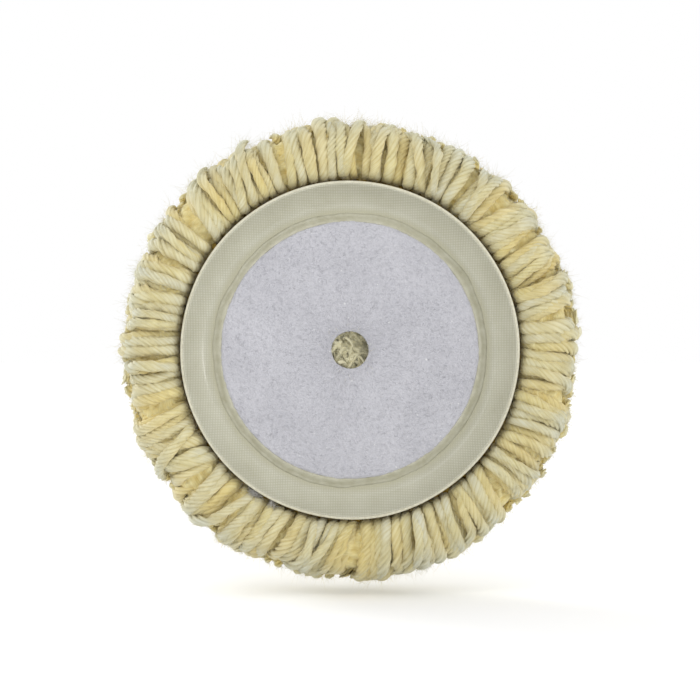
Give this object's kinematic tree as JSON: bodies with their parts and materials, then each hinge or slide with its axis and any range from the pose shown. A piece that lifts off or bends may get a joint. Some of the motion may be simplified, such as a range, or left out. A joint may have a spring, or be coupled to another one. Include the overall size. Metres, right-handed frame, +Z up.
{
  "type": "wool polishing pad",
  "caption": "Round tufted wool polishing pad with a dished, curved-edge hook-and-loop back and a centring hole, for a rotary car polisher.",
  "frame": {"origin": "centre of the loop face that the machine's hooked plate presses on, on the spin axis", "axes": "+Y along the spin axis towards the machine, -Y towards the paint, +Z up with the pad standing on edge, +X across; the pad is round, so X and Z differ only in name"},
  "size_m": [0.1998, 0.0454, 0.1998],
  "materials": {
    "brushed_loop": "brushed nylon loops, matt, lilac grey",
    "clear_adhesive": "cured contact adhesive, straw-coloured, satin",
    "coated_weave": "resin-coated woven cloth, cream, semi-gloss",
    "moulded_core": "moulded flexible core, cut edge bare",
    "bonding_latex": "latex, matt, yellowed",
    "backing_cloth": "woven tufting cloth",
    "twisted_wool": "four-ply twisted wool yarn, cream tips and golden roots"
  },
  "bodies": {
    "root": {"loop_facing": "brushed_loop", "facing_adhesive": "clear_adhesive", "cup_liner": "coated_weave", "cup_core": "moulded_core", "bonding_layer": "bonding_latex", "tufting_cloth": "backing_cloth", "wool_row_01": "twisted_wool", "wool_row_02": "twisted_wool", "wool_row_03": "twisted_wool", "wool_row_04": "twisted_wool", "wool_row_05": "twisted_wool", "wool_row_06": "twisted_wool", "wool_row_07": "twisted_wool", "wool_row_08": "twisted_wool", "wool_row_09": "twisted_wool", "wool_row_10": "twisted_wool", "wool_row_11": "twisted_wool", "wool_row_12": "twisted_wool", "wool_row_13": "twisted_wool", "wool_row_14": "twisted_wool", "wool_row_15": "twisted_wool", "wool_row_16": "twisted_wool"}
  },
  "joints": []
}
